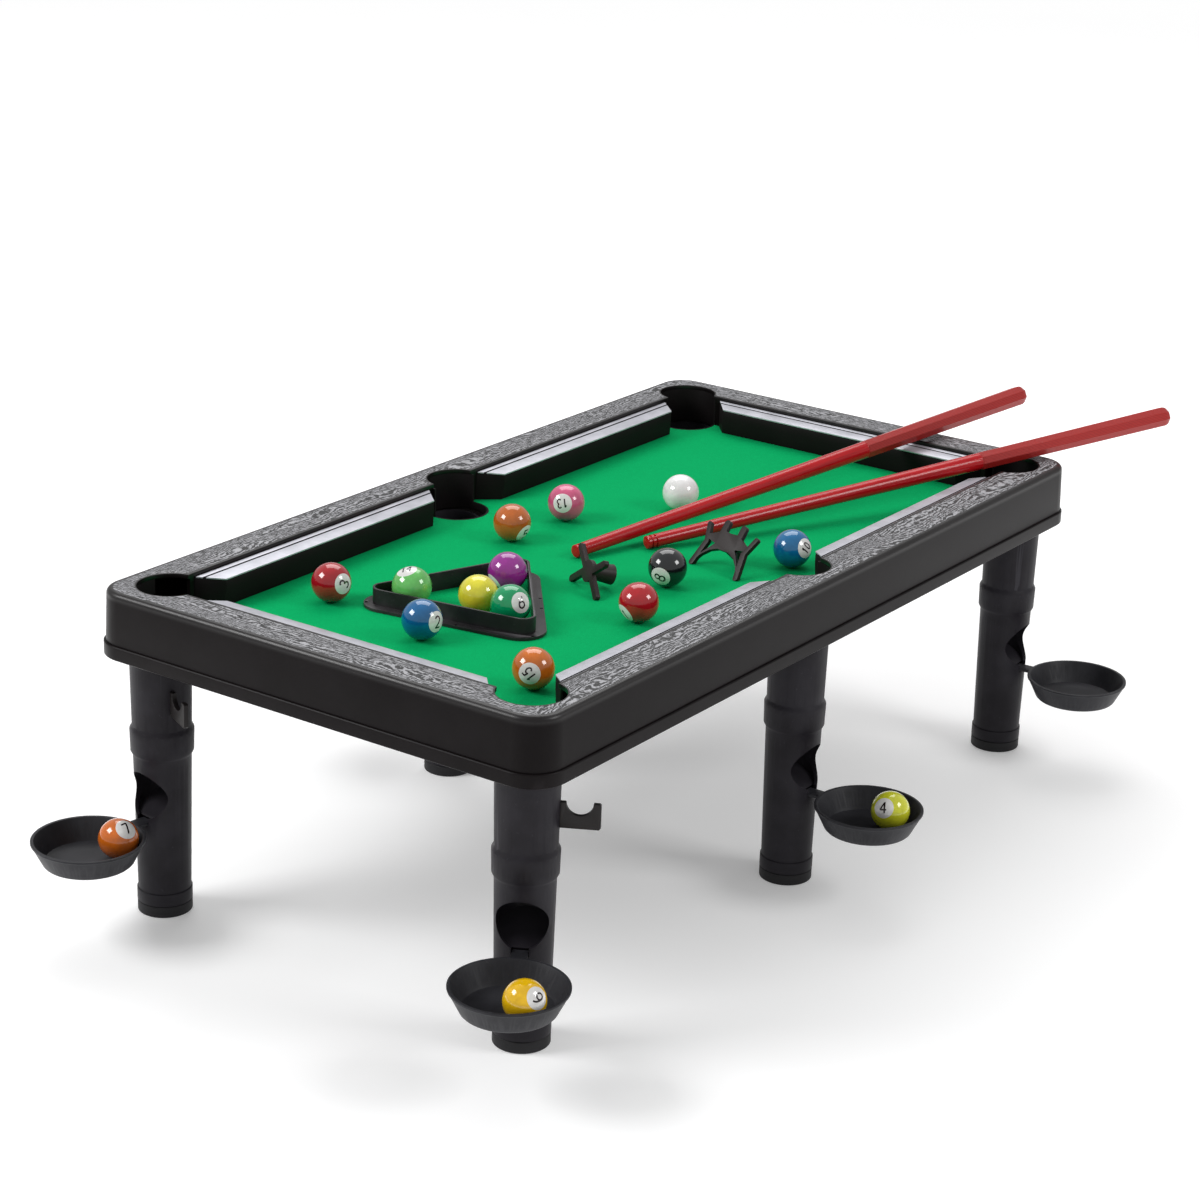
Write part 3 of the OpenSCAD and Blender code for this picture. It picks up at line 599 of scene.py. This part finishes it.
def make_felt():
    random.seed(7)
    corner = CORNER_R - INSET
    hole = HOLE_R
    corner_parts, side_parts, hole_parts = 12, 60, 72
    loops = []
    outline = []
    for sx, sy, a0 in ((1, 1, 0), (-1, 1, 90), (-1, -1, 180), (1, -1, 270)):
        for i in range(corner_parts + 1):
            a = math.radians(a0 + 90 * i / corner_parts)
            outline.append((sx * (CLOTH_HALF[0] - corner) + corner * math.cos(a),
                            sy * (CLOTH_HALF[1] - corner) + corner * math.sin(a)))
    edge = []
    for a, b in zip(outline, outline[1:] + outline[:1]):
        parts = 1 if math.dist(a, b) < 0.02 else side_parts
        edge += [(a[0] + (b[0] - a[0]) * k / parts, a[1] + (b[1] - a[1]) * k / parts) for k in range(parts)]
    loops.append(edge)
    centres = [(x, y) for x in (-POCKET[0], 0, POCKET[0]) for y in (-POCKET[1], POCKET[1])]
    for c in centres:
        turns = [2 * math.pi * i / hole_parts for i in range(hole_parts)]
        loops.append([(c[0] + hole * math.cos(a), c[1] + hole * math.sin(a)) for a in turns])
    points, edges = [], []
    for loop in loops:
        first = len(points)
        points += [Vector(p) for p in loop]
        edges += [(first + i, first + (i + 1) % len(loop)) for i in range(len(loop))]
    # a jittered grid of points inside, clear of the edge and the holes
    gap, jitter, from_hole, from_edge = 0.006, 0.0012, 0.0025, 0.004
    for i in range(-int(CLOTH_HALF[0] / gap), int(CLOTH_HALF[0] / gap) + 1):
        for j in range(-int(CLOTH_HALF[1] / gap), int(CLOTH_HALF[1] / gap) + 1):
            p = Vector((i * gap + random.uniform(-1, 1) * jitter, j * gap + random.uniform(-1, 1) * jitter))
            if min((p - Vector(c)).length for c in centres) > hole + from_hole \
                    and abs(p.x) < CLOTH_HALF[0] - from_edge and abs(p.y) < CLOTH_HALF[1] - from_edge \
                    and not (abs(p.x) > CLOTH_HALF[0] - corner and abs(p.y) > CLOTH_HALF[1] - corner):
                points.append(p)
    verts, _, faces, *_ = delaunay_2d_cdt(points, edges, [], 1, 1e-6)
    bm = bmesh.new()
    made = []
    for v in verts:
        near = min((v - Vector(c)).length for c in centres)
        # drawn down a little round the pockets, and never quite flat
        pull = 0.00012 * math.exp(-((near - hole) / 0.006) ** 2)
        wave = 0.00005 * noise.noise(Vector((v.x * 14, v.y * 14, 0)))
        made.append(bm.verts.new((v.x, v.y, CLOTH_Z - 0.00006 - pull + wave)))
    for f in faces:
        c = sum((verts[i] for i in f), Vector((0, 0))) / len(f)
        if min((c - Vector(q)).length for q in centres) < hole - 0.0001:
            continue
        bm.faces.new([made[i] for i in f])
    bmesh.ops.delete(bm, geom=[v for v in bm.verts if not v.link_faces], context="VERTS")
    bmesh.ops.recalc_face_normals(bm, faces=bm.faces)
    if sum(f.normal.z for f in bm.faces) < 0:
        bmesh.ops.reverse_faces(bm, faces=bm.faces)
    ob = new_object("felt_cloth_shape", bm, [MATERIALS["felt"]], 60)
    thick = ob.modifiers.new("thickness", "SOLIDIFY")
    thick.thickness = CLOTH_T - 0.0001
    thick.offset = -1
    stand_for(ob, "felt_cloth")
    return ob


# ---------------------------------------------------------------- build the pieces
EDGE_WIDTH = {"cushion_rubber": 0.5, "trim_silver": 0.2}  # in mm, 0.25 for the other slots
make_felt()
for node in BALLS:
    make_ball(node)
for node in CUES:
    make_cue(node)
refine("rail_frame", 0.4)
refine("base_pan", 0.3)
for node in nodes:
    if nodes[node].hide_render:
        continue
    slot = slot_of_node[node]
    if slot in ("board", "screw_steel"):
        nodes[node].data.materials.clear()
        nodes[node].data.materials.append(MATERIALS[slot])
    else:
        refine(node, EDGE_WIDTH.get(slot, 0.25))


# ---------------------------------------------------------------- floor and light
FLOOR_SIZE = 14
GLOW_FROM, GLOW_TO = 0.3, 1.6  # distances from the middle of the table
GLOW_LOW, GLOW_HIGH = 0.24, 0.55
WORLD_LIGHT = 0.5


def add_floor():
    """A white floor, which glows more away from the table."""
    bm = bmesh.new()
    bmesh.ops.create_grid(bm, x_segments=8, y_segments=8, size=FLOOR_SIZE)
    n = Net("floor_white", Roughness=0.9, Specular_IOR_Level=0.1, Emission_Color=(1, 1, 1))
    n.set(Base_Color=n.mix(n.noise(n.point(), 3, 2, 0.5), (0.85, 0.85, 0.855), (0.88, 0.88, 0.88)))
    x, y, _ = n.xyz(n.point())
    away = n.math("SQRT", n.math("ADD", n.math("MULTIPLY", x, x), n.math("MULTIPLY", y, y)))
    n.set(Emission_Strength=n.step(away, GLOW_FROM, GLOW_TO, GLOW_LOW, GLOW_HIGH))
    ob = new_object("floor", bm, [n.mat])
    ob.location.z = -0.0002


def add_light(name, direction, distance, size, power):
    """A soft box. direction is in the main view's axes: right, up, towards the camera."""
    data = bpy.data.lights.new(name, "AREA")
    data.shape = "RECTANGLE"
    data.size, data.size_y = size
    data.energy = power
    ob = link(name, data)
    way = (RIGHT * direction[0] + UP * direction[1] + BACK * direction[2]).normalized()
    target = Vector((0, 0, 0.15))
    ob.location = target + way * distance
    ob.rotation_euler = (target - ob.location).to_track_quat("-Z", "Y").to_euler()


add_floor()
add_light("key_left", (-0.76, 0.50, 0.41), 1.6, (0.7, 0.5), 13)
add_light("key_right", (0.77, 0.43, 0.47), 1.7, (0.6, 0.5), 8)
add_light("top", (0.0, 0.95, -0.25), 1.9, (1.6, 1.2), 16)
bpy.context.scene.view_settings.view_transform = "Standard"
world = bpy.data.worlds.new("studio")
bpy.context.scene.world = world
world.use_nodes = True
background = world.node_tree.nodes["Background"]
background.inputs["Color"].default_value = (1, 1, 1, 1)
background.inputs["Strength"].default_value = WORLD_LIGHT
